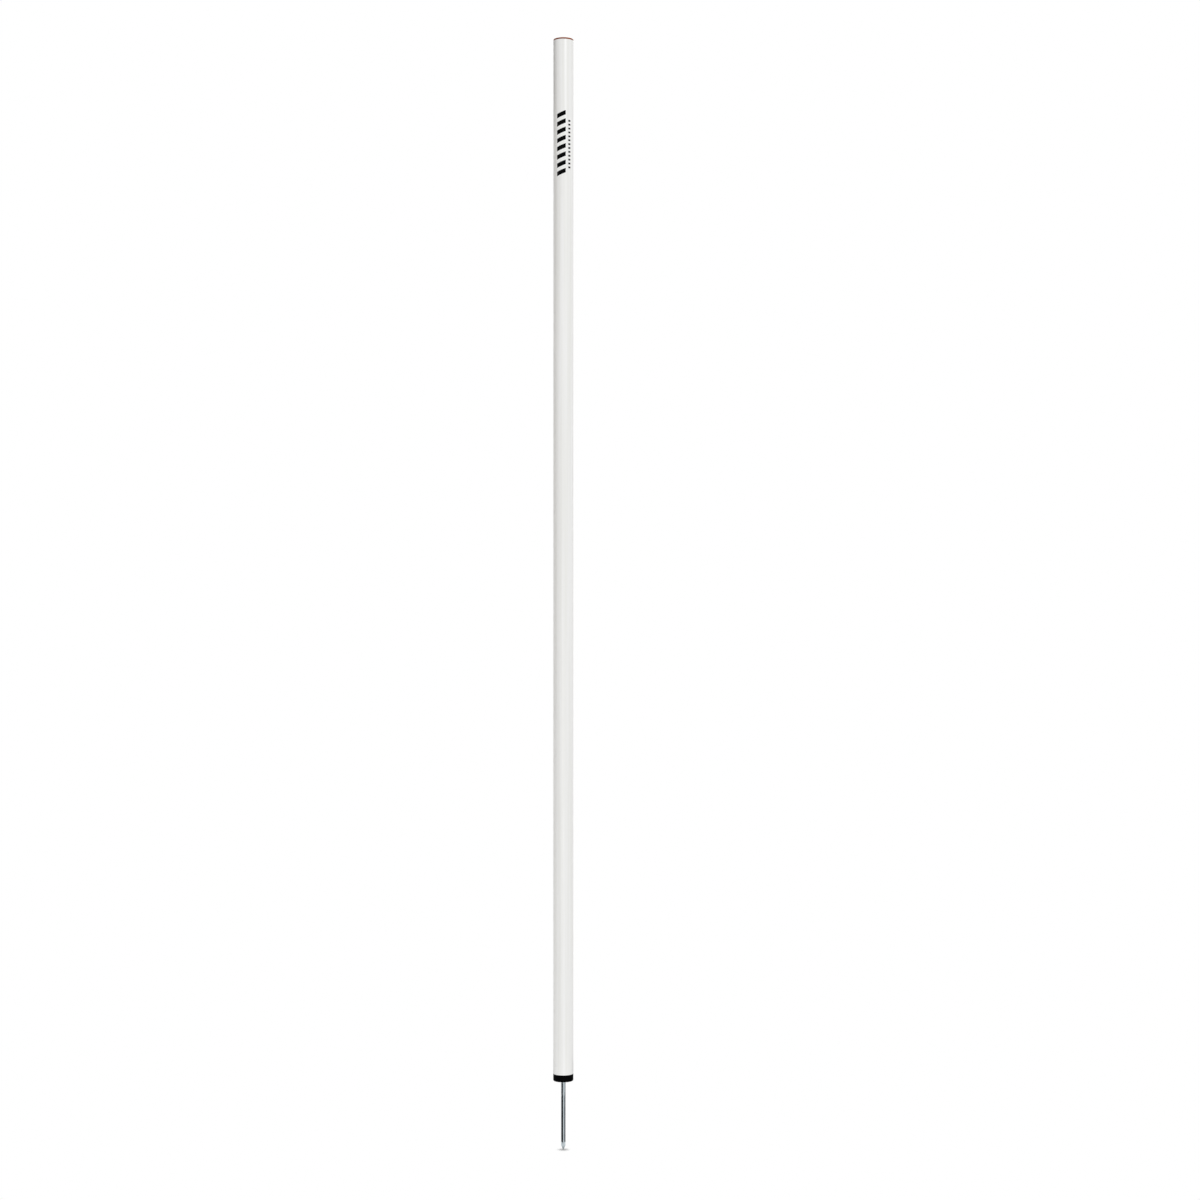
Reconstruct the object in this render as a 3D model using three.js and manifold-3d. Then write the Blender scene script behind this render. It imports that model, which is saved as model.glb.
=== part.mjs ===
// A slalom pole for running and dribbling drills: a white plastic tube with a ribbed plug pushed
// into each end, and a nail-pointed steel spike through the bottom plug that goes into the turf.
// Units are millimetres and +Z is up. The origin is at turf level, on the pole's axis, in the
// middle of the bottom plug's underside, so the spike lies below it and the pole above it.

import * as THREE from "three";
import { mergeVertices } from "three/addons/utils/BufferGeometryUtils.js";
import Module from "manifold-3d";

// Driving dimensions of the tube, the piece that the others fit
const tubeDiameter = 32;
const tubeWall = 1.8;
const tubeLength = 1650;
const tubeDeburr = 0.4;

// Clearance between pieces that seat on each other, and the least room round pieces that slide in
const seatGap = 0.3;

// How far a cutting body reaches past the face that it opens, and a joined one into its neighbour
const overrun = 1;
const rootOverlap = 0.6;

// Top plug: a thin rim over the sawn end, and a hollow finned shank inside the bore
const topRimThickness = 2;
const topRimRounding = 0.7;
const topRimInset = 0.1;
const topShankLength = 24;
const topShankWall = 1.5;
const topShankFloor = 1.8;
const topFinHeight = 1.3;
const topFinTipThickness = 0.4;
const topFinCount = 4;
const topLeadIn = 2.2;

// Bottom plug: the collar that shows, and a hub with fins and rings inside the bore. The lengths
// of hub and fins, and the seat of the spike's head, are measured from the collar's top.
const collarHeight = 10.8;
const collarProudBy = 0.1;
const collarRounding = 1.6;
const collarTopBreak = 0.3;
const hubLength = 35.2;
const hubWall = 1.7;
const seatAboveCollar = 1.2;
const mouthBreak = 0.8;
const spikeHoleBreak = 0.5;
const finCount = 8;
const finThickness = 1.8;
const finLength = 31.2;
const finLeadLength = 5;
const finLeadDepth = 1.4;
const ringThickness = 1.6;
const ringInset = 0.8;
const ringHeightShares = [0.36, 0.72];

// Ground spike: a thick wire nail, headed, gripped and pointed as a nail machine makes it
const spikeDiameter = 7;
const spikeReach = 110;
const spikeHeadDiameter = 14;
const spikeHeadThickness = 3;
const spikeHeadBreak = 0.5;
const spikeNeckFlare = 0.9;
const spikePointLength = 10.5;
const spikeTipWidth = 0.6;
const gripCount = 12;
const gripPitch = 2.4;
const gripDepth = 0.35;
const gripWidth = 1.1;
const gripStart = 7.5;
const gripTurn = Math.PI / 4;

// Lock plug: pressed down on the nail's head, so that the spike can't ride up into the pole
const lockLength = 25;
const lockWall = 1.5;
const lockFloor = 5;
const lockBarbHeight = 0.6;
const lockBarbTipThickness = 0.4;
const lockBarbCount = 3;
const lockLeadIn = 1.5;
const lockWebThickness = 1.4;
const lockWebInset = 3;

// Facets round each turned surface
const tubeFacets = 96;
const plugFacets = 80;
const smallFacets = 48;
const roundingSteps = 5;

// Heights and radii that follow from the sizes above
const tubeRadius = tubeDiameter / 2;
const boreRadius = tubeRadius - tubeWall;
const tubeBottom = collarHeight + seatGap;
const tubeTop = tubeBottom + tubeLength;
const finRadius = boreRadius - seatGap;
const spikeRadius = spikeDiameter / 2;
const spikeHeadRadius = spikeHeadDiameter / 2;
const socketRadius = spikeHeadRadius + seatGap;
const hubTop = collarHeight + hubLength;
const finTop = collarHeight + finLength;
const seatFloor = collarHeight + seatAboveCollar;
const headBottom = seatFloor + seatGap;
const headTop = headBottom + spikeHeadThickness;
const lockBottom = headTop + seatGap;

const wasm = await Module();
wasm.setup();

// A closed three.js geometry as a manifold solid, with its doubled vertices merged.
function solidFrom(geometry) {
  const shell = geometry.clone();
  shell.deleteAttribute("normal");
  shell.deleteAttribute("uv");
  const merged = mergeVertices(shell);
  const corners = merged.index.array;
  const triangles = [];
  for (let i = 0; i < corners.length; i += 3) {
    const [a, b, c] = corners.subarray(i, i + 3);
    if (a !== b && b !== c && c !== a) triangles.push(a, b, c);
  }
  return new wasm.Manifold(
    new wasm.Mesh({
      numProp: 3,
      vertProperties: new Float32Array(merged.attributes.position.array),
      triVerts: new Uint32Array(triangles),
    }),
  );
}

// A manifold solid as a named mesh with its own material.
function meshFrom(solid, name, material) {
  const { vertProperties, triVerts } = solid.getMesh();
  const geometry = new THREE.BufferGeometry();
  geometry.setAttribute("position", new THREE.BufferAttribute(vertProperties, 3));
  geometry.setIndex(new THREE.BufferAttribute(triVerts, 1));
  geometry.computeVertexNormals();
  const mesh = new THREE.Mesh(geometry, material);
  mesh.name = name;
  return mesh;
}

// A solid turned about Z from [radius, height] points. The points run up the outside and back
// down the axis or the bore, and the last joins the first.
function turned(points, facets) {
  const outline = [...points, points[0]].map(([radius, height]) => new THREE.Vector2(radius, height));
  const geometry = new THREE.LatheGeometry(outline, facets);
  geometry.rotateX(Math.PI / 2);
  return solidFrom(geometry);
}

// Points of a quarter round of an edge at [radius, height]; from and to are angles in quarter turns.
function rounding(radius, height, size, from, to) {
  const points = [];
  for (let step = 0; step <= roundingSteps; step++) {
    const angle = (Math.PI / 2) * (from + ((to - from) * step) / roundingSteps);
    points.push([radius + size * Math.cos(angle), height + size * Math.sin(angle)]);
  }
  return points;
}

// A flat plate with its outline in the plane of the axis and a radius, centred on that plane.
function radialPlate(points, thickness) {
  const shape = new THREE.Shape(points.map(([radius, height]) => new THREE.Vector2(radius, height)));
  const geometry = new THREE.ExtrudeGeometry(shape, { depth: thickness, bevelEnabled: false });
  geometry.translate(0, 0, -thickness / 2);
  geometry.rotateX(Math.PI / 2);
  return geometry;
}

// Copies of a geometry spaced evenly round Z, as one solid.
function around(geometry, count) {
  const copies = [];
  for (let i = 0; i < count; i++) {
    copies.push(solidFrom(geometry.clone().rotateZ((2 * Math.PI * i) / count)));
  }
  return wasm.Manifold.union(copies);
}

// Outline points of saw-tooth fins up a shank that is pushed in downwards. Each fin has a sloped
// side below, so that it slides in, and a square side above, so that it drags when pulled out.
function finnedSide(bottom, top, rootRadius, finDepth, tipThickness, count) {
  const pitch = (top - bottom) / count;
  const tipRadius = rootRadius + finDepth;
  const points = [];
  for (let i = 0; i < count; i++) {
    const low = bottom + pitch * i;
    const high = low + pitch;
    points.push([rootRadius, low], [rootRadius, low + pitch / 2]);
    points.push([tipRadius, high - tipThickness], [tipRadius, high]);
  }
  return points;
}

function whitePipePlastic() {
  return new THREE.MeshStandardMaterial({ color: 0xe9eaea, roughness: 0.4, metalness: 0 });
}

function brownPlugPlastic() {
  return new THREE.MeshStandardMaterial({ color: 0x612b11, roughness: 0.5, metalness: 0 });
}

function blackPlugPlastic() {
  return new THREE.MeshStandardMaterial({ color: 0x0d0d0e, roughness: 0.45, metalness: 0 });
}

function greyPlugPlastic() {
  return new THREE.MeshStandardMaterial({ color: 0x2a2b2d, roughness: 0.55, metalness: 0 });
}

function zincedWire() {
  return new THREE.MeshStandardMaterial({ color: 0xbbc4c8, roughness: 0.2, metalness: 1 });
}

// The extruded tube, sawn square at both ends with the saw's burr taken off inside and out.
function poleTube() {
  const pipe = turned(
    [
      [tubeRadius - tubeDeburr, tubeBottom],
      [tubeRadius, tubeBottom + tubeDeburr],
      [tubeRadius, tubeTop - tubeDeburr],
      [tubeRadius - tubeDeburr, tubeTop],
      [boreRadius + tubeDeburr, tubeTop],
      [boreRadius, tubeTop - tubeDeburr],
      [boreRadius, tubeBottom + tubeDeburr],
      [boreRadius + tubeDeburr, tubeBottom],
    ],
    tubeFacets,
  );
  return meshFrom(pipe, "pole_tube", whitePipePlastic());
}

// The end plug that closes the top: its rim rests on the sawn end, and its hollow shank, open
// below, has fins that drag on the bore.
function topPlug() {
  const rimBottom = tubeTop + seatGap;
  const rimTop = rimBottom + topRimThickness;
  const rimRadius = tubeRadius - topRimInset;
  const rootRadius = finRadius - topFinHeight;
  const shankBottom = rimBottom - topShankLength;
  const cupRadius = rootRadius - topShankWall;
  const plug = turned(
    [
      [cupRadius, shankBottom],
      [rootRadius - topShankWall / 2, shankBottom],
      [rootRadius, shankBottom + topLeadIn],
      ...finnedSide(
        shankBottom + topLeadIn,
        rimBottom - topLeadIn,
        rootRadius,
        topFinHeight,
        topFinTipThickness,
        topFinCount,
      ),
      [rootRadius, rimBottom - topLeadIn],
      [rootRadius, rimBottom],
      [rimRadius, rimBottom],
      ...rounding(rimRadius - topRimRounding, rimTop - topRimRounding, topRimRounding, 0, 1),
      [0, rimTop],
      [0, rimTop - topShankFloor],
      [cupRadius, rimTop - topShankFloor],
    ],
    plugFacets,
  );
  return meshFrom(plug, "top_plug", brownPlugPlastic());
}

// Collar and hub of the bottom plug in one turned body: the collar with a rounded foot, the hub
// inside the bore, the hole for the spike and the socket that its head drops into.
function collarAndHub() {
  const collarRadius = tubeRadius + collarProudBy;
  const hubRadius = socketRadius + hubWall;
  const holeRadius = spikeRadius + seatGap;
  return turned(
    [
      [holeRadius + spikeHoleBreak, 0],
      ...rounding(collarRadius - collarRounding, collarRounding, collarRounding, -1, 0),
      [collarRadius, collarHeight - collarTopBreak],
      [collarRadius - collarTopBreak, collarHeight],
      [hubRadius, collarHeight],
      [hubRadius, hubTop - mouthBreak],
      [hubRadius - mouthBreak, hubTop],
      [socketRadius + mouthBreak, hubTop],
      [socketRadius, hubTop - mouthBreak],
      [socketRadius, seatFloor],
      [holeRadius + spikeNeckFlare, seatFloor],
      [holeRadius, seatFloor - spikeNeckFlare],
      [holeRadius, spikeHoleBreak],
    ],
    plugFacets,
  );
}

// The fins that grip the bore, each with a sloped lead-in at its top.
function bottomFins() {
  const inner = socketRadius + hubWall - rootOverlap;
  return around(
    radialPlate(
      [
        [inner, collarHeight - rootOverlap],
        [finRadius, collarHeight - rootOverlap],
        [finRadius, finTop - finLeadLength],
        [finRadius - finLeadDepth, finTop],
        [inner, finTop],
      ],
      finThickness,
    ),
    finCount,
  );
}

// The rings that tie the fins together, a little shy of the bore.
function bottomRings() {
  const inner = socketRadius + hubWall - rootOverlap;
  const outer = finRadius - ringInset;
  const rings = ringHeightShares.map((share) => {
    const low = collarHeight + finLength * share - ringThickness / 2;
    const high = low + ringThickness;
    return turned([[inner, low], [outer, low], [outer, high], [inner, high]], plugFacets);
  });
  return wasm.Manifold.union(rings);
}

// The moulded plug that closes the bottom and holds the spike.
function basePlug() {
  const plug = collarAndHub().add(bottomFins()).add(bottomRings());
  return meshFrom(plug, "base_plug", blackPlugPlastic());
}

// The nail's round body: head, flared neck and shank, long enough to be cut to its point.
function nailBlank() {
  return turned(
    [
      [0, -spikeReach],
      [spikeRadius, -spikeReach],
      [spikeRadius, headBottom - spikeNeckFlare],
      [spikeRadius + spikeNeckFlare, headBottom],
      [spikeHeadRadius - spikeHeadBreak, headBottom],
      [spikeHeadRadius, headBottom + spikeHeadBreak],
      [spikeHeadRadius, headTop - spikeHeadBreak],
      [spikeHeadRadius - spikeHeadBreak, headTop],
      [0, headTop],
    ],
    smallFacets,
  );
}

// Everything inside the four slanted faces that the pointing dies cut. The faces meet in a tip
// that is nearly sharp, and they run out on the shank one point length above it.
function insidePoint() {
  const slope = (spikeRadius - spikeTipWidth / 2) / spikePointLength;
  const height = headTop + overrun + spikeReach;
  const acrossFlats = spikeTipWidth / 2 + slope * height;
  const tipCorner = (spikeTipWidth / 2) * Math.SQRT2;
  const topCorner = acrossFlats * Math.SQRT2;
  const pyramid = new THREE.CylinderGeometry(topCorner, tipCorner, height, 4);
  pyramid.rotateX(Math.PI / 2);
  pyramid.translate(0, 0, height / 2 - spikeReach);
  return solidFrom(pyramid);
}

// V notches that the gripping dies press into two sides of the shank, just under the head. They
// face the front left and the back right, between the edges of the point.
function gripNotches() {
  const outside = spikeRadius + overrun;
  const inside = spikeRadius - gripDepth;
  const spread = (gripWidth / 2) * (1 + overrun / gripDepth);
  const notches = [];
  for (let i = 0; i < gripCount; i++) {
    const height = headBottom - gripStart - gripPitch * i;
    const wedge = radialPlate(
      [
        [inside, height],
        [outside, height - spread],
        [outside, height + spread],
      ],
      spikeDiameter,
    );
    notches.push(around(wedge.rotateZ(gripTurn), 2));
  }
  return wasm.Manifold.union(notches);
}

// The steel spike. Two faces of its point look half left and half right from the front.
function groundSpike() {
  const nail = nailBlank().intersect(insidePoint()).subtract(gripNotches());
  return meshFrom(nail, "ground_spike", zincedWire());
}

// The plug behind the nail's head, hollow and open above, with barbs outside and a cross inside.
function spikeLockPlug() {
  const barbRadius = socketRadius - seatGap;
  const rootRadius = barbRadius - lockBarbHeight;
  const cupRadius = rootRadius - lockWall;
  const top = lockBottom + lockLength;
  const body = turned(
    [
      [0, lockBottom],
      [rootRadius - lockLeadIn / 2, lockBottom],
      [rootRadius, lockBottom + lockLeadIn],
      ...finnedSide(
        lockBottom + lockLeadIn,
        top - lockLeadIn,
        rootRadius,
        lockBarbHeight,
        lockBarbTipThickness,
        lockBarbCount,
      ),
      [rootRadius, top - lockLeadIn],
      [rootRadius, top],
      [cupRadius, top],
      [cupRadius, lockBottom + lockFloor],
      [0, lockBottom + lockFloor],
    ],
    smallFacets,
  );
  const reach = cupRadius + lockWall / 2;
  const web = radialPlate(
    [
      [-reach, lockBottom + lockFloor - rootOverlap],
      [reach, lockBottom + lockFloor - rootOverlap],
      [reach, top - lockWebInset],
      [-reach, top - lockWebInset],
    ],
    lockWebThickness,
  );
  const cross = solidFrom(web).add(solidFrom(web.clone().rotateZ(Math.PI / 2)));
  return meshFrom(body.add(cross), "spike_lock_plug", greyPlugPlastic());
}

const slalomPole = new THREE.Group();
slalomPole.name = "slalom_pole";
slalomPole.add(poleTube(), topPlug(), basePlug(), groundSpike(), spikeLockPlug());

export default slalomPole;
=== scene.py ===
# %% [markdown]
# A slalom pole, dressed round its solids
#
# The real object is a length of white plastic pipe that stands upright in turf, so that a player
# can run round it. A thin plug closes its top. A black plug closes its bottom and holds a thick
# steel nail, which is the spike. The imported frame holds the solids, each at its real size and in
# its place. This script gives each one a finish made of nodes. It also gives each one a finer mesh,
# but for a small plug inside the pipe.

# %% Load the fixed frame
import math

import bmesh
import bpy
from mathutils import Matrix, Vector


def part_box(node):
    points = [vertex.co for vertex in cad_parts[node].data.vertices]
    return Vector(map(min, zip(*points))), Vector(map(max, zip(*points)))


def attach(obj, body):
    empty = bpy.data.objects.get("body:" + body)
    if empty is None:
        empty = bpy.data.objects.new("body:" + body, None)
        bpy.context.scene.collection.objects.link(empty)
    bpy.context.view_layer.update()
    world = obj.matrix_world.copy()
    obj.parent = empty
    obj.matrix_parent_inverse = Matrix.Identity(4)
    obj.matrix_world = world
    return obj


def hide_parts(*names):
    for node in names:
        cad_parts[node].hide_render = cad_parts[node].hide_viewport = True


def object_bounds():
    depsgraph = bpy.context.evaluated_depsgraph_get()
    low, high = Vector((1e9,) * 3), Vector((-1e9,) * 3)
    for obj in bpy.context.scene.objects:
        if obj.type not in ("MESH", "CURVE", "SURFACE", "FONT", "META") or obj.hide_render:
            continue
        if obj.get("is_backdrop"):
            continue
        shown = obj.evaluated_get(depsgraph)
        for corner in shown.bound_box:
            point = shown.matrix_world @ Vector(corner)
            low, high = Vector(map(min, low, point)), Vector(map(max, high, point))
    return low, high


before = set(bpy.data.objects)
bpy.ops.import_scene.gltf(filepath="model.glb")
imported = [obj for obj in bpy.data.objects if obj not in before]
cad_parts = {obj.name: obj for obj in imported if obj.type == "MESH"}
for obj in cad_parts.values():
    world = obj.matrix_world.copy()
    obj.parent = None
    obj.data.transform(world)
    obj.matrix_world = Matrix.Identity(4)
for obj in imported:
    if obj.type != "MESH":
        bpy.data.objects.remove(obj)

cad_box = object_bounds()

# %% [markdown]
# Where each solid lies
#
# Heights and outer radii are read from the boxes of the solids, so no piece can drift from the
# solid that it stands for. Only what a box doesn't show, such as the wall of the pipe, is given
# further down, in millimetres, beside the piece that needs it.

# %% Read the boxes
MM = 0.001

tube_low, tube_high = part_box("pole_tube")
cap_low, cap_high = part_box("top_plug")
plug_low, plug_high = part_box("base_plug")
nail_low, nail_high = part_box("ground_spike")

floor_height = nail_low.z
object_height = cap_high.z - nail_low.z
print(f"pole {object_height / MM:.1f} mm tall, tube {2 * tube_high.x / MM:.1f} mm across")

# %% [markdown]
# The camera
#
# The photograph looks almost level at the pole from a few metres away, from a little below its
# middle: the upright edges stay nearly parallel, the top rim bows up and the foot of the black
# collar bows down, but less. This camera looks up by the small pitch that puts the tip on its pixel.
# The lens follows from how many pixels the pole's height takes, and the side step from the pixel of
# its axis.

# %% Set the camera
FRAME_PX = 1200
RIM_PX = 39.7
TIP_PX = 1149.6
AXIS_PX = 563.35
CAMERA_DISTANCE = 3.5
CAMERA_HEIGHT = 0.735
CAMERA_LEVEL = math.radians(90)
CAMERA_PITCH = math.radians(0.51)
SENSOR_MM = 36.0


def rise_in_view(height):
    """The tangent of the angle between the line of sight and a point at a height on the axis."""
    return math.tan(math.atan2(height - CAMERA_HEIGHT, CAMERA_DISTANCE) - CAMERA_PITCH)


lens_px = (TIP_PX - RIM_PX) / (rise_in_view(cap_high.z) - rise_in_view(nail_low.z))
tip_px = FRAME_PX / 2 - lens_px * rise_in_view(nail_low.z)
metres_per_px = CAMERA_DISTANCE / lens_px
camera_side = (FRAME_PX / 2 - AXIS_PX) * metres_per_px

camera = bpy.data.objects.new("camera", bpy.data.cameras.new("camera"))
bpy.context.scene.collection.objects.link(camera)
camera.location = (camera_side, -CAMERA_DISTANCE, CAMERA_HEIGHT)
camera.rotation_euler = (CAMERA_LEVEL + CAMERA_PITCH, 0, 0)
camera.data.sensor_width = SENSOR_MM
camera.data.lens = SENSOR_MM * lens_px / FRAME_PX
bpy.context.scene.camera = camera
bpy.context.scene.view_settings.view_transform = "Standard"
print(f"lens {camera.data.lens:.2f} mm, {metres_per_px / MM:.4f} mm a pixel at the pole")
print(f"tip at {tip_px:.1f} px, {TIP_PX} px in the photograph")

# %% [markdown]
# Colours and nodes
#
# A colour is written as the hex value that an eye would pick off a screen. Blender's shaders want
# it linear, so one function turns it. One more function sets a node up, and one adds a node and
# sets it up, so a whole finish reads as a list of nodes with what runs into them.

# %% Helpers for colours and nodes
SRGB_KNEE = 0.04045
SRGB_SLOPE = 12.92
SRGB_OFFSET = 0.055
SRGB_POWER = 2.4


def srgb(code):
    """The linear RGBA of a hex colour such as "E9EAEA"."""
    linear = []
    for i in (0, 2, 4):
        share = int(code[i : i + 2], 16) / 255
        if share <= SRGB_KNEE:
            linear.append(share / SRGB_SLOPE)
        else:
            linear.append(((share + SRGB_OFFSET) / (1 + SRGB_OFFSET)) ** SRGB_POWER)
    return (*linear, 1.0)


def set_up(tree, node, settings):
    """Sets a node's inputs, its properties and a ramp's "stops" by name, and links in sockets."""
    for name, value in settings.items():
        if name == "stops":
            for element, (place, code) in zip(node.color_ramp.elements, value):
                element.position = place
                element.color = srgb(code)
        elif not isinstance(name, int) and name not in node.inputs:
            setattr(node, name, value)
        elif isinstance(value, bpy.types.NodeSocket):
            tree.links.new(value, node.inputs[name])
        else:
            node.inputs[name].default_value = value


def put(tree, kind, settings=None):
    """Adds a node with its settings and links, and gives back its outputs."""
    node = tree.nodes.new(kind)
    set_up(tree, node, settings or {})
    return node.outputs


# %% [markdown]
# A white studio
#
# The photograph is a cut-out on pure white. Here the world is white too. A ray that comes straight
# from the camera, off something shiny or through something clear sees it at a strength of 1, which
# renders as white. A ray that gathers soft light sees it a little dimmer, and the lamps make up the
# rest, so a colour renders about as it is written.

# %% Set the world
ROOM_LIGHT = 0.84


def backdrop_strength(tree):
    """1 where the backdrop is seen, straight, mirrored or through glass, else ROOM_LIGHT."""
    rays = put(tree, "ShaderNodeLightPath")
    seen = rays["Is Camera Ray"]
    for kind in ("Is Glossy Ray", "Is Transmission Ray"):
        seen = put(tree, "ShaderNodeMath", {"operation": "MAXIMUM", 0: seen, 1: rays[kind]})[0]
    return put(tree, "ShaderNodeMapRange", {"Value": seen, "To Min": ROOM_LIGHT, "To Max": 1.0})[0]


world = bpy.data.worlds.new("white_studio")
bpy.context.scene.world = world
world.use_nodes = True
sky = world.node_tree
backdrop = {"Color": srgb("FFFFFF"), "Strength": backdrop_strength(sky)}
set_up(sky, sky.nodes["Background"], backdrop)
print("world strengths:", ROOM_LIGHT, "for soft light and 1 where it is seen")

# %% [markdown]
# A floor with a contact shadow
#
# The pole stands on the point of its nail, and the photograph shows a small soft shadow just there.
# The floor glows white like the world, and Ambient Occlusion darkens it only within about a
# centimetre of the nail. The shade is even in its core and fades quickly at its edge, as in the
# photograph. The underside is see-through, so the pole can be looked at from below.

# %% Make the floor
FLOOR_HALF_WIDTH = 40.0
SHADOW_REACH = 11 * MM
SHADOW_SAMPLES = 16
SHADOW_DEPTH = 0.55
SHADOW_CORE = 0.8


def floor_finish():
    material = bpy.data.materials.new("white_floor")
    material.use_nodes = True
    tree = material.node_tree
    tree.nodes.clear()
    near = {"Distance": SHADOW_REACH, "samples": SHADOW_SAMPLES}
    openness = put(tree, "ShaderNodeAmbientOcclusion", near)["AO"]
    shade = {"Value": openness, "From Min": SHADOW_CORE, "To Min": 1 - SHADOW_DEPTH}
    shade.update({"To Max": 1.0, "interpolation_type": "SMOOTHSTEP"})
    kept = put(tree, "ShaderNodeMapRange", shade)[0]
    strength = {"operation": "MULTIPLY", 0: backdrop_strength(tree), 1: kept}
    glow = {"Color": srgb("FFFFFF"), "Strength": put(tree, "ShaderNodeMath", strength)[0]}
    sides = {
        "Fac": put(tree, "ShaderNodeNewGeometry")["Backfacing"],
        1: put(tree, "ShaderNodeEmission", glow)[0],
        2: put(tree, "ShaderNodeBsdfTransparent")[0],
    }
    put(tree, "ShaderNodeOutputMaterial", {"Surface": put(tree, "ShaderNodeMixShader", sides)[0]})
    return material


def stage_sheet(name, corners, finish):
    """A flat or folded sheet of quads from a strip of corner pairs, declared as stage."""
    mesh = bpy.data.meshes.new(name)
    quads = [(i, i + 1, i + 3, i + 2) for i in range(0, len(corners) - 2, 2)]
    mesh.from_pydata(corners, [], quads)
    mesh.materials.append(finish)
    sheet = bpy.data.objects.new(name, mesh)
    bpy.context.scene.collection.objects.link(sheet)
    sheet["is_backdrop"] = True
    return sheet


floor_sides = (-FLOOR_HALF_WIDTH, FLOOR_HALF_WIDTH)
floor_corners = [(x, y, floor_height) for y in floor_sides for x in floor_sides]
stage_sheet("studio_floor", floor_corners, floor_finish())
print(f"floor at {floor_height / MM:.1f} mm")

# %% [markdown]
# Cards round the pole
#
# White plastic and plated wire show what is round them, so cards that the camera can't see shade
# them. The pipe is greyer and a little warmer towards its left edge, most of all near its top, so
# a tall brown card stands at the left, and a darker one hangs nearer to the pole's top and further
# round its back. A wider card would darken the pipe too far inwards. The nail is an upright mirror
# seen from above, which shows only the floor. There a black sheet at the front left draws its dark
# stripe, a grey one at the front right draws the second, fainter stripe, and two at the back darken
# its edges. Angles are counted in degrees from the front, and lengths in metres.

# %% Hang the cards and lay the sheets
CARD_FOLDS = 12
PAPER_ROUGHNESS = 0.9
SHEET_LIFT = 0.5 * MM
SHEET_NEAR = 50 * MM


def round_the_pole(degrees, distance, height):
    """A point round the pole's axis, by its angle from the front, positive to the right."""
    angle = math.radians(degrees)
    return Vector((distance * math.sin(angle), -distance * math.cos(angle), height))


def matt_paper(name, code):
    material = bpy.data.materials.new(name)
    material.use_nodes = True
    tree = material.node_tree
    dull = {"Base Color": srgb(code), "Roughness": PAPER_ROUGHNESS, "Specular IOR Level": 0.0}
    set_up(tree, tree.nodes["Principled BSDF"], dull)
    return material


def card(name, code, turn, start, end):
    """A card round the pole over a range of degrees, from one (distance, height) to another."""
    corners = []
    for fold in range(CARD_FOLDS + 1):
        degrees = turn[0] + (turn[1] - turn[0]) * fold / CARD_FOLDS
        corners += [round_the_pole(degrees, *start), round_the_pole(degrees, *end)]
    made = stage_sheet(name, corners, matt_paper(name, code))
    made.visible_camera = False
    return made


def floor_sheet(name, code, turn, reach):
    """A card lying on the floor out to a distance, which only shows in what mirrors it."""
    height = floor_height + SHEET_LIFT
    made = card(name, code, turn, (SHEET_NEAR, height), (reach, height))
    made.visible_diffuse = False
    made.visible_shadow = False


card("tall_card", "6B5A46", turn=(-112, -70), start=(1.2, 0.3), end=(1.2, 2.6))
card("top_card", "281E14", turn=(-150, -84), start=(0.4, 1.62), end=(0.4, 2.3))
floor_sheet("black_sheet", "000000", turn=(-93, -8), reach=0.95)
floor_sheet("left_sheet", "B4B4B8", turn=(180, 272), reach=0.7)
floor_sheet("right_sheet", "38383C", turn=(98, 180), reach=0.7)
floor_sheet("dim_sheet", "A2A2A6", turn=(38, 98), reach=0.42)

# %% [markdown]
# Three lamps
#
# A small high lamp at the front right gives the pipe its narrow highlight, which fades out down the
# pipe. A broad low one in front lifts the pipe's middle above its edges. In the photograph the
# middle of the pipe's lowest centimetres is lighter, as if the floor in front threw light up at it.
# A strip lamp that lies there and faces up does that. It is hidden from the camera and from mirrors,
# because the nail would show it as a bright spot.

# %% Hang the lamps
STRAIGHT_UP = Vector((0, 0, 1))


def lamp(name, watts, width, height, place, target):
    """A lamp of a width and a height at a place, turned to a target."""
    made = bpy.data.objects.new(name, bpy.data.lights.new(name, "AREA"))
    bpy.context.scene.collection.objects.link(made)
    made.data.shape = "RECTANGLE"
    made.data.size = width
    made.data.size_y = height
    made.data.energy = watts
    made.location = place
    made.rotation_euler = (target - place).to_track_quat("-Z", "Y").to_euler()
    print(f"{name}: {watts} W at {[round(x, 2) for x in place]} m")
    return made


lamp(
    "key_lamp",
    watts=10.5,
    width=0.25,
    height=0.25,
    place=round_the_pole(degrees=27, distance=2.7, height=2.6),
    target=0.7 * STRAIGHT_UP,
)
lamp(
    "fill_lamp",
    watts=11.5,
    width=1.0,
    height=0.6,
    place=round_the_pole(degrees=-3, distance=3.4, height=0.2),
    target=0.2 * STRAIGHT_UP,
)
pool_place = round_the_pole(degrees=-5, distance=0.09, height=floor_height + 2 * SHEET_LIFT)
pool = lamp(
    "floor_pool",
    watts=0.042,
    width=0.03,
    height=0.09,
    place=pool_place,
    target=pool_place + STRAIGHT_UP,
)
pool.visible_camera = False
pool.visible_glossy = False

# %% [markdown]
# A grain of real size
#
# Every finish below has a pattern in it: the cloudiness of a plastic, the scratches of a wire. Each
# starts as noise on Object coordinates, which are metres in the pole's own frame, so a grain can be
# asked for by its size in millimetres. A grain that is long in Z gives lines along the pole.

# %% A helper for grain
USUAL_NOISE = {"From Min": 0.3, "From Max": 0.7}


def grain(tree, size_mm, detail=2.0, shift=(0, 0, 0)):
    """Noise from 0 to 1, mostly within USUAL_NOISE, whose grain is (x, y, z) millimetres wide."""
    place = put(tree, "ShaderNodeTexCoord")["Object"]
    scale = [1 / (size * MM) for size in size_mm]
    settings = {"Vector": place, "Scale": scale, "Location": shift}
    mapped = put(tree, "ShaderNodeMapping", settings)["Vector"]
    return put(tree, "ShaderNodeTexNoise", {"Vector": mapped, "Scale": 1.0, "Detail": detail})[0]


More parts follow.
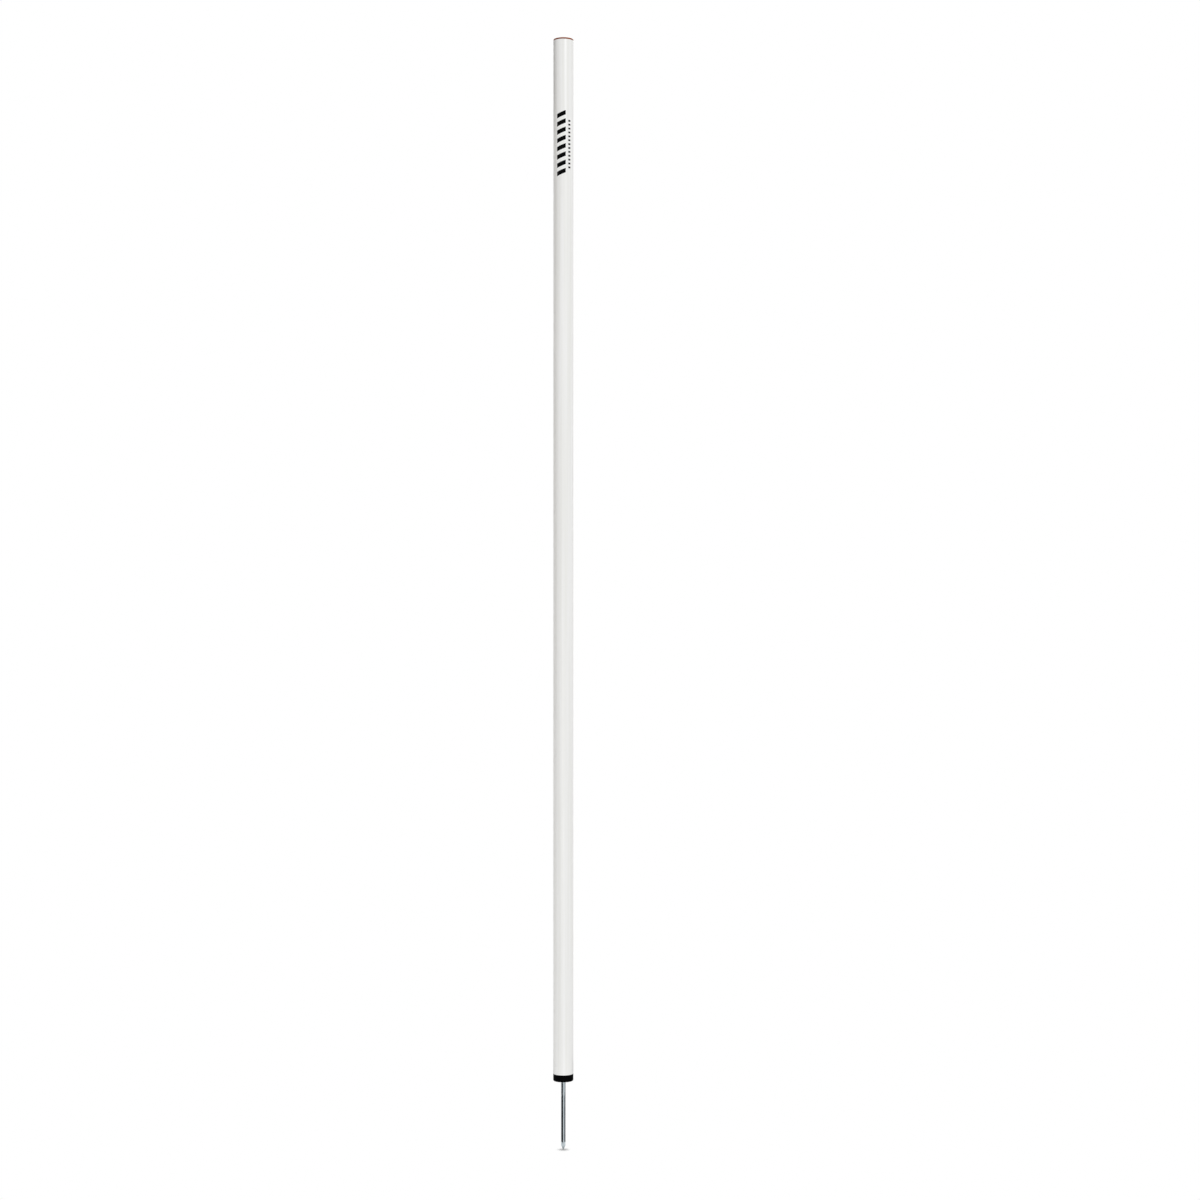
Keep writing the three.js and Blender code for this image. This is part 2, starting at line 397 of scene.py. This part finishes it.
def blank_finish(name):
    """A new material, its node tree and its Principled shader."""
    material = bpy.data.materials.new(name)
    material.use_nodes = True
    return material, material.node_tree, material.node_tree.nodes["Principled BSDF"]


# %% [markdown]
# White rigid PVC, extruded
#
# Pipe is pushed hot through a ring-shaped die and drawn off through a cooling bath. That gives the
# eye a satin skin, very fine lines along its length where the die scraped it, and long faint
# streaks where the white pigment lies thicker. The lines are drawn 0.6 mm wide, several times
# the real ones, so that they show at all. Handling leaves the gloss a little uneven.

# %% Mix the pipe's finish
def extruded_white_pvc():
    material, tree, shader = blank_finish("extruded_white_pvc")
    streaks = grain(tree, (4, 4, 350), detail=3.0)
    tone = {"Fac": streaks, "stops": [(0.35, "E6E6E3"), (0.65, "ECECEB")]}
    handling = grain(tree, (12, 12, 45), detail=4.0, shift=(3, 7, 1))
    gloss = {"Value": handling, **USUAL_NOISE, "To Min": 0.30, "To Max": 0.40}
    die_lines = grain(tree, (0.6, 0.6, 400), detail=3.0)
    lines = {"Height": die_lines, "Distance": 0.02 * MM, "Strength": 0.5}
    skin = grain(tree, (0.9, 0.9, 1.4), shift=(5, 2, 8))
    bumps = {
        "Height": skin,
        "Distance": 0.006 * MM,
        "Strength": 0.3,
        "Normal": put(tree, "ShaderNodeBump", lines)[0],
    }
    settings = {
        "Base Color": put(tree, "ShaderNodeValToRGB", tone)["Color"],
        "Roughness": put(tree, "ShaderNodeMapRange", gloss)[0],
        "Normal": put(tree, "ShaderNodeBump", bumps)[0],
        "IOR": 1.53,
    }
    set_up(tree, shader, settings)
    return material


# %% [markdown]
# Moulded polyethylene, for the brown, the black and the hidden grey plug
#
# Push-in plugs are moulded in soft polyethylene. The mould is spark eroded, which gives the eye a
# fine even grain without direction, and the soft plastic scuffs to a slightly duller tone where it
# is handled. One function mixes all of them, because only the colour and the shine differ. The
# grain is drawn 0.4 mm wide, about three times the real one. The photograph sinks the collar to a
# nearly pure black, so the black mirrors less of the white room than the plastic itself would.

# %% Mix the plugs' finishes
POLISHED_BY = 0.06
SCUFFED_BY = 0.08


def moulded_polyethylene(name, dark, light, dullness, specular):
    material, tree, shader = blank_finish(name)
    mottle = grain(tree, (5, 5, 5), detail=4.0, shift=(2, 9, 4))
    tone = {"Fac": mottle, "stops": [(0.38, dark), (0.62, light)]}
    scuffs = grain(tree, (1.2, 1.2, 6), detail=5.0, shift=(8, 1, 6))
    gloss = {"Value": scuffs, **USUAL_NOISE}
    gloss.update({"To Min": dullness - POLISHED_BY, "To Max": dullness + SCUFFED_BY})
    eroded = {"Height": grain(tree, (0.4, 0.4, 0.4)), "Distance": 0.03 * MM, "Strength": 0.6}
    settings = {
        "Base Color": put(tree, "ShaderNodeValToRGB", tone)["Color"],
        "Roughness": put(tree, "ShaderNodeMapRange", gloss)[0],
        "Normal": put(tree, "ShaderNodeBump", eroded)[0],
        "IOR": 1.51,
        "Specular IOR Level": specular,
    }
    set_up(tree, shader, settings)
    return material


# %% [markdown]
# Zinc-plated drawn wire, for the nail
#
# The nail is cut from wire that was pulled through a die, so fine scratches run along it, and a
# thin bright coat of zinc follows them. Zinc gives the eye a slightly bluish grey mirror, duller in
# patches where it was handled. The pointing dies press the four faces of the point smooth, so they
# shine more than the shank. The scratches are drawn 0.2 mm wide, several times the real ones.

# %% Mix the nail's finish
POINT_LENGTH = 10.5 * MM
PRESSED_SHARE = 0.7
PRESSED_GLOSS = 0.6


def zinced_drawn_wire():
    material, tree, shader = blank_finish("zinced_drawn_wire")
    patches = grain(tree, (3, 3, 14), detail=4.0, shift=(1, 4, 9))
    tone = {"Fac": patches, "stops": [(0.35, "AFB9BD"), (0.65, "C6CFD3")]}
    worn = {"Value": patches, **USUAL_NOISE, "To Min": 0.09, "To Max": 0.16}
    place = put(tree, "ShaderNodeTexCoord")["Object"]
    height = put(tree, "ShaderNodeSeparateXYZ", {"Vector": place})["Z"]
    pressed = {"Value": height, "From Min": floor_height + PRESSED_SHARE * POINT_LENGTH}
    pressed.update({"From Max": floor_height + POINT_LENGTH, "To Min": PRESSED_GLOSS, "To Max": 1.0})
    gloss = {"operation": "MULTIPLY"}
    gloss[0] = put(tree, "ShaderNodeMapRange", worn)[0]
    gloss[1] = put(tree, "ShaderNodeMapRange", pressed)[0]
    drawn = grain(tree, (0.2, 0.2, 30), detail=3.0)
    scratches = {"Height": drawn, "Distance": 0.004 * MM, "Strength": 0.4}
    settings = {
        "Base Color": put(tree, "ShaderNodeValToRGB", tone)["Color"],
        "Roughness": put(tree, "ShaderNodeMath", gloss)[0],
        "Normal": put(tree, "ShaderNodeBump", scratches)[0],
        "Metallic": 1.0,
    }
    set_up(tree, shader, settings)
    return material


# %% [markdown]
# Black pipe ink
#
# Marks on pipe are rolled on with a rubber pad. The film is thin and uneven, which gives the eye a
# black that turns slightly grey and changes its shine over a few millimetres.

# %% Mix the ink and list the finishes
def rolled_pipe_ink():
    material, tree, shader = blank_finish("rolled_pipe_ink")
    film = grain(tree, (1.5, 1.5, 2.5), detail=4.0, shift=(6, 6, 2))
    tone = {"Fac": film, "stops": [(0.4, "020202"), (0.7, "08090A")]}
    gloss = {"Value": film, **USUAL_NOISE, "To Min": 0.45, "To Max": 0.6}
    settings = {
        "Base Color": put(tree, "ShaderNodeValToRGB", tone)["Color"],
        "Roughness": put(tree, "ShaderNodeMapRange", gloss)[0],
        "IOR": 1.48,
        "Specular IOR Level": 0.03,
    }
    set_up(tree, shader, settings)
    return material


white_pvc = extruded_white_pvc()
brown_plastic = moulded_polyethylene(
    "moulded_brown_polyethylene", dark="843A0A", light="98480E", dullness=0.48, specular=0.08
)
black_plastic = moulded_polyethylene(
    "moulded_black_polyethylene", dark="020203", light="050506", dullness=0.5, specular=0.02
)
grey_plastic = moulded_polyethylene(
    "moulded_grey_polyethylene", dark="26272A", light="303135", dullness=0.55, specular=0.4
)
zinced_wire = zinced_drawn_wire()
pipe_ink = rolled_pipe_ink()
print("finishes:", [finish.name for finish in bpy.data.materials])

# %% [markdown]
# Turned shapes
#
# The pipe and both plugs are round, so each is an outline of radius and height, spun about the
# pole's axis in bmesh. The outline runs up the outside and back down the bore or the axis, which
# leaves every face looking outwards. A corner may carry a third number, the radius that rounds it,
# because a moulded or deburred edge is never sharp and a rounded one catches a line of light.

# %% Helpers for turned shapes
ARC_STEPS = 6
CREASE = math.radians(30)


def rounded(corners):
    """The outline's points, with each (radius, height, rounding) corner made an arc."""
    points = []
    for number, (radius, height, *rounding) in enumerate(corners):
        if not rounding:
            points.append((radius, height))
            continue
        corner = Vector((radius, height))
        back = (Vector(corners[number - 1][:2]) - corner).normalized()
        ahead = (Vector(corners[(number + 1) % len(corners)][:2]) - corner).normalized()
        half = back.angle(ahead) / 2
        reach = rounding[0] / math.tan(half)
        centre = corner + (back + ahead).normalized() * rounding[0] / math.sin(half)
        first = corner + back * reach - centre
        last = corner + ahead * reach - centre
        for step in range(ARC_STEPS + 1):
            arm = first.lerp(last, step / ARC_STEPS).normalized() * rounding[0]
            points.append(tuple(centre + arm))
    return points


def ring_of(work, radii, height):
    """Vertices evenly round the axis at a height, one for each of the radii."""
    turn = 2 * math.pi / len(radii)
    places = [(r * math.cos(turn * i), r * math.sin(turn * i), height) for i, r in enumerate(radii)]
    return [work.verts.new(place) for place in places]


def bridge(work, lower, upper):
    """Faces between two rings, either of which may be one vertex repeated."""
    for i in range(len(lower)):
        j = (i + 1) % len(lower)
        corners = list(dict.fromkeys([lower[i], lower[j], upper[j], upper[i]]))
        if len(corners) > 2:
            work.faces.new(corners)


def mark_creases(mesh):
    """Shades the mesh smooth, but for edges that fold by more than CREASE."""
    work = bmesh.new()
    work.from_mesh(mesh)
    for face in work.faces:
        face.smooth = True
    for side in work.edges:
        side.smooth = side.is_manifold and side.calc_face_angle() < CREASE
    work.to_mesh(mesh)
    work.free()


def as_piece(name, work, finish):
    """The bmesh as an object of one finish."""
    mesh = bpy.data.meshes.new(name)
    work.to_mesh(mesh)
    work.free()
    mark_creases(mesh)
    mesh.materials.append(finish)
    piece = bpy.data.objects.new(name, mesh)
    bpy.context.scene.collection.objects.link(piece)
    return piece


def turned(name, corners, steps, finish):
    """A closed piece made by spinning an outline about Z."""
    work = bmesh.new()
    rings = []
    for radius, height in rounded(corners):
        if radius == 0:
            rings.append([work.verts.new((0, 0, height))] * steps)
        else:
            rings.append(ring_of(work, [radius] * steps, height))
    for lower, upper in zip(rings, rings[1:] + rings[:1]):
        bridge(work, lower, upper)
    return as_piece(name, work, finish)


def report(piece):
    """Prints a piece's size and whether its mesh is closed."""
    work = bmesh.new()
    work.from_mesh(piece.data)
    open_sides = sum(1 for side in work.edges if not side.is_manifold)
    axes = zip(*(vert.co for vert in work.verts))
    size = " x ".join(f"{(max(axis) - min(axis)) / MM:.2f}" for axis in axes)
    volume = work.calc_volume() / MM**3
    print(f"{piece.name}: {size} mm, {len(work.faces)} faces, {volume:.0f} mm3, {open_sides} open")
    work.free()


# %% [markdown]
# The white tube
#
# It is standard pipe, sawn square at both ends with the burr taken off inside and out. A cylinder
# with a Solidify modifier would give the wall too, but not the small rounded edges at its ends. The
# spin does both, and rings every few centimetres keep its faces from being long slivers.

# %% Turn the tube
TUBE_WALL = 1.8 * MM
TUBE_DEBURR = 0.4 * MM
TUBE_STEPS = 144
TUBE_RING_SPACING = 30 * MM

tube_radius = tube_high.x
bore_radius = tube_radius - TUBE_WALL


def up_the_side(radius, low, high, spacing):
    """Points between two heights at one radius, evenly spaced and without the ends."""
    count = max(1, round(abs(high - low) / spacing))
    return [(radius, low + (high - low) * i / count) for i in range(1, count)]


tube = turned(
    "white_tube",
    [
        (bore_radius, tube_low.z, TUBE_DEBURR),
        (tube_radius, tube_low.z, TUBE_DEBURR),
        *up_the_side(tube_radius, tube_low.z, tube_high.z, TUBE_RING_SPACING),
        (tube_radius, tube_high.z, TUBE_DEBURR),
        (bore_radius, tube_high.z, TUBE_DEBURR),
        *up_the_side(bore_radius, tube_high.z, tube_low.z, TUBE_RING_SPACING),
    ],
    TUBE_STEPS,
    white_pvc,
)
report(tube)
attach(tube, "root")
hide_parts("pole_tube")

# %% [markdown]
# The top plug
#
# From the front only its thin rim shows. Below that a hollow shank sits in the bore, with saw-tooth
# fins that slide in easily and drag on the way out. The rim's face has the mark of the moulding
# gate, a shallow dimple with a pip in the middle where the plastic came in.

# %% Turn the top plug
RIM_THICKNESS = 2 * MM
RIM_ROUNDING = 0.7 * MM
SHANK_WALL = 1.5 * MM
SHANK_FLOOR = 1.8 * MM
SHANK_LEAD_IN = 2.2 * MM
SHANK_FIN_HEIGHT = 1.3 * MM
SHANK_FIN_TIP = 0.4 * MM
SHANK_FIN_COUNT = 4
SEAT_GAP = 0.3 * MM
GATE_RADIUS = 2.4 * MM
GATE_DEPTH = 0.3 * MM
PIP_RADIUS = 0.7 * MM
MOULD_EDGE = 0.15 * MM
PLUG_STEPS = 128

fin_radius = bore_radius - SEAT_GAP


def finned_side(low, high, root, depth, tip, count):
    """Corners of saw-tooth fins up a shank: sloped below to slide in, square above to drag."""
    pitch = (high - low) / count
    corners = []
    for i in range(count):
        base = low + pitch * i
        corners += [(root, base), (root, base + pitch / 2)]
        corners += [(root + depth, base + pitch - tip), (root + depth, base + pitch, tip / 4)]
    return corners


rim_top = cap_high.z
rim_bottom = rim_top - RIM_THICKNESS
rim_radius = cap_high.x
shank_root = fin_radius - SHANK_FIN_HEIGHT
cup_radius = shank_root - SHANK_WALL
fins_low = cap_low.z + SHANK_LEAD_IN
fins_high = rim_bottom - SHANK_LEAD_IN
fin_sizes = (shank_root, SHANK_FIN_HEIGHT, SHANK_FIN_TIP, SHANK_FIN_COUNT)

top_plug = turned(
    "top_plug_moulding",
    [
        (cup_radius, cap_low.z, MOULD_EDGE),
        (shank_root - SHANK_WALL / 2, cap_low.z, MOULD_EDGE),
        *finned_side(fins_low, fins_high, *fin_sizes),
        (shank_root, fins_high),
        (shank_root, rim_bottom),
        (rim_radius, rim_bottom, MOULD_EDGE),
        (rim_radius, rim_top, RIM_ROUNDING),
        (GATE_RADIUS, rim_top, MOULD_EDGE),
        (GATE_RADIUS - GATE_DEPTH, rim_top - GATE_DEPTH),
        (PIP_RADIUS, rim_top - GATE_DEPTH),
        (PIP_RADIUS, rim_top - MOULD_EDGE / 2, MOULD_EDGE / 2),
        (0, rim_top - MOULD_EDGE / 2),
        (0, rim_top - SHANK_FLOOR),
        (cup_radius, rim_top - SHANK_FLOOR, 2 * MOULD_EDGE),
    ],
    PLUG_STEPS,
    brown_plastic,
)
report(top_plug)
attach(top_plug, "root")
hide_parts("top_plug")

# %% [markdown]
# Geometry Nodes for what repeats
#
# The bottom plug has fins round it and rings up it, and the marks on the tube repeat up it too. One
# small tree serves them all. It takes a mesh, makes a point for each copy, turns and raises each
# copy from the one before, realizes the instances and sets the material. The tree's sizes are named
# inputs, which the modifier sets by the identifiers of their sockets.

# %% Build the tree that repeats a mesh
def copies_tree():
    """Geometry nodes: copy number n of the mesh is turned by n x Turn and raised by n x Rise."""
    tree = bpy.data.node_groups.new("turned_and_raised_copies", "GeometryNodeTree")
    tree.interface.new_socket("Geometry", in_out="OUTPUT", socket_type="NodeSocketGeometry")
    kinds = {"Geometry": "Geometry", "Copies": "Int", "Turn": "Float", "Rise": "Float"}
    for name, kind in {**kinds, "Finish": "Material"}.items():
        tree.interface.new_socket(name, in_out="INPUT", socket_type="NodeSocket" + kind)
    given = put(tree, "NodeGroupInput")
    number = put(tree, "GeometryNodeInputIndex")[0]
    turn = {"operation": "MULTIPLY", 0: number, 1: given["Turn"]}
    rise = {"operation": "MULTIPLY", 0: number, 1: given["Rise"]}
    raised = put(tree, "ShaderNodeCombineXYZ", {"Z": put(tree, "ShaderNodeMath", rise)[0]})[0]
    about_z = put(tree, "ShaderNodeCombineXYZ", {"Z": put(tree, "ShaderNodeMath", turn)[0]})[0]
    points = put(tree, "GeometryNodePoints", {"Count": given["Copies"], "Position": raised})[0]
    copies = {"Points": points, "Instance": given["Geometry"], "Rotation": about_z}
    placed = put(tree, "GeometryNodeInstanceOnPoints", copies)[0]
    solid = put(tree, "GeometryNodeRealizeInstances", {"Geometry": placed})[0]
    painted = {"Geometry": solid, "Material": given["Finish"]}
    put(tree, "NodeGroupOutput", {"Geometry": put(tree, "GeometryNodeSetMaterial", painted)[0]})
    return tree


def plain_mesh(piece):
    """Replaces a piece's mesh by what its modifiers make of it, and takes them off."""
    made = bpy.data.meshes.new_from_object(
        piece.evaluated_get(bpy.context.evaluated_depsgraph_get())
    )
    piece.modifiers.clear()
    mark_creases(made)
    piece.data = made


def repeat(piece, copies, turn=0.0, rise=0.0):
    """Makes a piece into its copies, as one plain mesh."""
    modifier = piece.modifiers.new("copies", "NODES")
    modifier.node_group = repeating
    given = {"Copies": copies, "Turn": turn, "Rise": rise, "Finish": piece.data.materials[0]}
    for socket in repeating.interface.items_tree:
        if socket.in_out == "INPUT" and socket.name in given:
            modifier[socket.identifier] = given[socket.name]
    plain_mesh(piece)


repeating = copies_tree()
print("tree inputs:", [s.name for s in repeating.interface.items_tree if s.in_out == "INPUT"])

# %% [markdown]
# The bottom plug
#
# Only its black collar shows. The tube stands on the collar, and the hub above it has a socket for
# the head of the nail. Eight fins with sloped tops grip the bore, and two rings tie them together.
# On the real plug this is one moulding, so the parts that repeat are made by the tree and then
# joined to the turned body by a Boolean, which leaves one closed skin.

# %% Turn the collar and the hub
COLLAR_ROUNDING = 1.6 * MM
COLLAR_TOP_BREAK = 0.3 * MM
HUB_WALL = 1.7 * MM
SEAT_ABOVE_COLLAR = 1.2 * MM
MOUTH_BREAK = 0.64 * MM
HOLE_BREAK = 0.5 * MM
NAIL_DIAMETER = 7 * MM
NECK_FLARE = 0.9 * MM
PARTING_RIDGE = 0.05 * MM
PARTING_HEIGHT_SHARE = 0.55

collar_radius = plug_high.x
collar_top = tube_low.z - SEAT_GAP
parting_height = plug_low.z + PARTING_HEIGHT_SHARE * (collar_top - plug_low.z)
collar_side = collar_radius - PARTING_RIDGE
nail_radius = NAIL_DIAMETER / 2
head_radius = nail_high.x
socket_radius = head_radius + SEAT_GAP
hub_radius = socket_radius + HUB_WALL
hole_radius = nail_radius + SEAT_GAP
hub_top = plug_high.z
seat_floor = collar_top + SEAT_ABOVE_COLLAR

base_plug = turned(
    "base_plug_moulding",
    [
        (hole_radius, plug_low.z, HOLE_BREAK),
        (collar_side, plug_low.z, COLLAR_ROUNDING),
        (collar_side, parting_height - PARTING_RIDGE),
        (collar_radius, parting_height),
        (collar_side, parting_height + PARTING_RIDGE),
        (collar_side, collar_top, COLLAR_TOP_BREAK),
        (hub_radius, collar_top),
        (hub_radius, hub_top, MOUTH_BREAK),
        (socket_radius, hub_top, MOUTH_BREAK),
        (socket_radius, seat_floor),
        (hole_radius + NECK_FLARE, seat_floor),
        (hole_radius, seat_floor - NECK_FLARE),
    ],
    PLUG_STEPS,
    black_plastic,
)
report(base_plug)

# %% Mould the fins and the rings, and join them to the hub
FIN_COUNT = 8
FIN_THICKNESS = 1.8 * MM
FIN_LENGTH = 31.2 * MM
FIN_LEAD_LENGTH = 5 * MM
FIN_LEAD_DEPTH = 1.4 * MM
RING_THICKNESS = 1.6 * MM
RING_INSET = 0.8 * MM
RING_HEIGHT_SHARES = (0.36, 0.72)
ROOT_OVERLAP = 0.6 * MM


def plate(name, corners, thickness, finish):
    """A flat plate whose outline of radius and height lies in the XZ plane."""
    work = bmesh.new()
    sides = []
    for y in (-thickness / 2, thickness / 2):
        sides.append([work.verts.new((radius, y, height)) for radius, height in rounded(corners)])
    work.faces.new(sides[0])
    work.faces.new(reversed(sides[1]))
    bridge(work, sides[1], sides[0])
    return as_piece(name, work, finish)


def weld(piece, other):
    """Joins another piece into this one as one closed skin, and removes the other."""
    modifier = piece.modifiers.new("weld", "BOOLEAN")
    modifier.operation = "UNION"
    modifier.solver = "EXACT"
    modifier.object = other
    plain_mesh(piece)
    bpy.data.objects.remove(other)


fin_root = hub_radius - ROOT_OVERLAP
fin_top = collar_top + FIN_LENGTH
fins = plate(
    "plug_fins",
    [
        (fin_root, collar_top - ROOT_OVERLAP),
        (fin_radius, collar_top - ROOT_OVERLAP),
        (fin_radius, fin_top - FIN_LEAD_LENGTH, FIN_LEAD_LENGTH / 2),
        (fin_radius - FIN_LEAD_DEPTH, fin_top, MOULD_EDGE),
        (fin_root, fin_top),
    ],
    FIN_THICKNESS,
    black_plastic,
)
repeat(fins, FIN_COUNT, turn=2 * math.pi / FIN_COUNT)
report(fins)

low_share, high_share = RING_HEIGHT_SHARES
ring_low = collar_top + FIN_LENGTH * low_share - RING_THICKNESS / 2
ring_radius = fin_radius - RING_INSET
rings = turned(
    "plug_rings",
    [
        (fin_root, ring_low),
        (ring_radius, ring_low, MOULD_EDGE),
        (ring_radius, ring_low + RING_THICKNESS, MOULD_EDGE),
        (fin_root, ring_low + RING_THICKNESS),
    ],
    PLUG_STEPS,
    black_plastic,
)
repeat(rings, len(RING_HEIGHT_SHARES), rise=FIN_LENGTH * (high_share - low_share))
report(rings)

weld(base_plug, fins)
weld(base_plug, rings)
report(base_plug)
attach(base_plug, "root")
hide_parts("base_plug")

# %% [markdown]
# The nail
#
# A nail machine grips drawn wire, upsets its head and presses a four-sided point. The grip leaves
# V notches across two sides of the shank. All of this follows one rule: at each height and angle
# the nail reaches out as far as the tightest of its limits, which are the turned blank, the four
# faces of the point and the notches. So rings of vertices are set at that radius, closer together
# where the shape changes quickly.

# %% The rule of the nail's radius
HEAD_BREAK = 0.5 * MM
HEAD_THICKNESS = 3 * MM
TIP_WIDTH = 0.6 * MM
NOTCH_COUNT = 12
NOTCH_PITCH = 2.4 * MM
NOTCH_DEPTH = 0.35 * MM
NOTCH_WIDTH = 1.1 * MM
NOTCH_START = 7.5 * MM
NOTCH_ANGLE = math.radians(45)
FACE_COUNT = 4

head_top = nail_high.z
head_bottom = head_top - HEAD_THICKNESS
notch_heights = [head_bottom - NOTCH_START - NOTCH_PITCH * i for i in range(NOTCH_COUNT)]
face_slope = (nail_radius - TIP_WIDTH / 2) / POINT_LENGTH


def point_limit(angle, height):
    """How far the flat faces of the point let the nail reach."""
    half_width = TIP_WIDTH / 2 + face_slope * (height - floor_height)
    quarter = 2 * math.pi / FACE_COUNT
    return half_width / math.cos(angle % quarter - quarter / 2)


def notch_limit(angle, height):
    """How far the notches across two sides of the shank let the nail reach."""
    across = abs(math.cos(angle - NOTCH_ANGLE))
    nearest = min(abs(height - notch) for notch in notch_heights)
    wall = nail_radius - NOTCH_DEPTH * (1 - nearest / (NOTCH_WIDTH / 2))
    return wall / max(across, NOTCH_DEPTH / nail_radius)


def nail_radius_at(angle, height):
    """The radius of the shank at an angle and a height."""
    return min(nail_radius, point_limit(angle, height), notch_limit(angle, height))


print(f"notches from {notch_heights[0] / MM:.1f} to {notch_heights[-1] / MM:.1f} mm")

# %% Build the nail
NAIL_STEPS = 96
POINT_RINGS = 36
NOTCH_RINGS = 4
SHANK_RINGS = 24

shank_top = head_bottom - NECK_FLARE
point_top = floor_height + POINT_LENGTH
heights = [floor_height + POINT_LENGTH * i / POINT_RINGS for i in range(POINT_RINGS)]
plain_top = notch_heights[-1] - NOTCH_WIDTH
heights += [point_top + (plain_top - point_top) * i / SHANK_RINGS for i in range(SHANK_RINGS)]
for notch in reversed(notch_heights):
    steps = range(-NOTCH_RINGS, NOTCH_RINGS + 1)
    heights += [notch + NOTCH_WIDTH / 2 * step / NOTCH_RINGS for step in steps]
heights.append(shank_top)

angles = [2 * math.pi * i / NAIL_STEPS for i in range(NAIL_STEPS)]
head = [
    (nail_radius + NECK_FLARE, head_bottom),
    (head_radius, head_bottom, HEAD_BREAK),
    (head_radius, head_top, HEAD_BREAK),
    (0, head_top),
]
work = bmesh.new()
nail_rings = [[work.verts.new((0, 0, floor_height))] * NAIL_STEPS]
for height in heights:
    nail_rings.append(ring_of(work, [nail_radius_at(a, height) for a in angles], height))
for radius, height in rounded(head)[:-1]:
    nail_rings.append(ring_of(work, [radius] * NAIL_STEPS, height))
nail_rings.append([work.verts.new((0, 0, head_top))] * NAIL_STEPS)
for lower, upper in zip(nail_rings, nail_rings[1:]):
    bridge(work, lower, upper)
nail = as_piece("nail_spike", work, zinced_wire)
report(nail)
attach(nail, "root")
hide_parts("ground_spike")

# %% [markdown]
# The lock plug
#
# A small barbed plug sits on the nail's head inside the hub, so that the nail can't ride up. It is
# out of sight, and its solid already has its barbs and its cross, so it keeps the solid and only
# gets a moulded finish.

# %% Finish the lock plug
lock_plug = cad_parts["spike_lock_plug"]
for material_slot in lock_plug.material_slots:
    material_slot.material = grey_plastic
print("lock plug finish:", [s.material.name for s in lock_plug.material_slots])

# %% [markdown]
# Marks on the tube
#
# A printed strip runs up the front near the top: a column of slanted bars, and beside it a finer
# column of short ticks. Each starts as one thin patch of ink, bent round the tube, and the tree
# repeats it upwards. Ink stands on the plastic by a few hundredths of a millimetre, so the patches
# are solid and sit just proud of the tube.

# %% Print the marks
INK_PROUD = 0.03 * MM
INK_SUNK = 0.02 * MM
MARK_STEPS = 16

BAR_LEFT = -10.6 * MM
BAR_RIGHT = 4.0 * MM
BAR_HEIGHT = 7.1 * MM
BAR_SLANT = 6.0 * MM
BAR_PITCH = 13.2 * MM
BAR_COUNT = 8
BAR_START = 1441.6 * MM

TICK_LEFT = 8.4 * MM
TICK_RIGHT = 12.4 * MM
TICK_HEIGHT = 2.8 * MM
TICK_PITCH = 6.2 * MM
TICK_COUNT = 13
TICK_START = 1454.5 * MM


def ink_patch(name, left, right, low, high, slant):
    """A thin solid patch on the tube's front, its sides given along the tube's curve."""
    work = bmesh.new()
    rims = []
    for radius in (tube_radius - INK_SUNK, tube_radius + INK_PROUD):
        rim = []
        for height, order in ((low, 1), (high, -1)):
            for step in range(MARK_STEPS + 1)[::order]:
                share = step / MARK_STEPS
                angle = (left + (right - left) * share) / tube_radius
                lift = height + slant * share
                place = (radius * math.sin(angle), -radius * math.cos(angle), lift)
                rim.append(work.verts.new(place))
        rims.append(rim)
    inner, outer = rims
    bridge(work, inner, outer)
    last = len(outer) - 1
    for step in range(MARK_STEPS):
        work.faces.new([outer[step], outer[step + 1], outer[last - step - 1], outer[last - step]])
        work.faces.new([inner[last - step], inner[last - step - 1], inner[step + 1], inner[step]])
    return as_piece(name, work, pipe_ink)


bars = ink_patch("bar_marks", BAR_LEFT, BAR_RIGHT, BAR_START, BAR_START + BAR_HEIGHT, BAR_SLANT)
repeat(bars, BAR_COUNT, rise=BAR_PITCH)
ticks = ink_patch("tick_marks", TICK_LEFT, TICK_RIGHT, TICK_START, TICK_START + TICK_HEIGHT, 0)
repeat(ticks, TICK_COUNT, rise=TICK_PITCH)
for marks in (bars, ticks):
    report(marks)
    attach(marks, "root")

# %% [markdown]
# The size of the dressed pole
#
# The dressed pole must fill the same space as its solids, so both boxes are printed side by side.

# %% Print the sizes
visual_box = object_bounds()
boxes = {"cad": cad_box, "visual": visual_box}
for name, (low, high) in boxes.items():
    print(name, [round(length / MM, 2) for length in high - low], "mm")
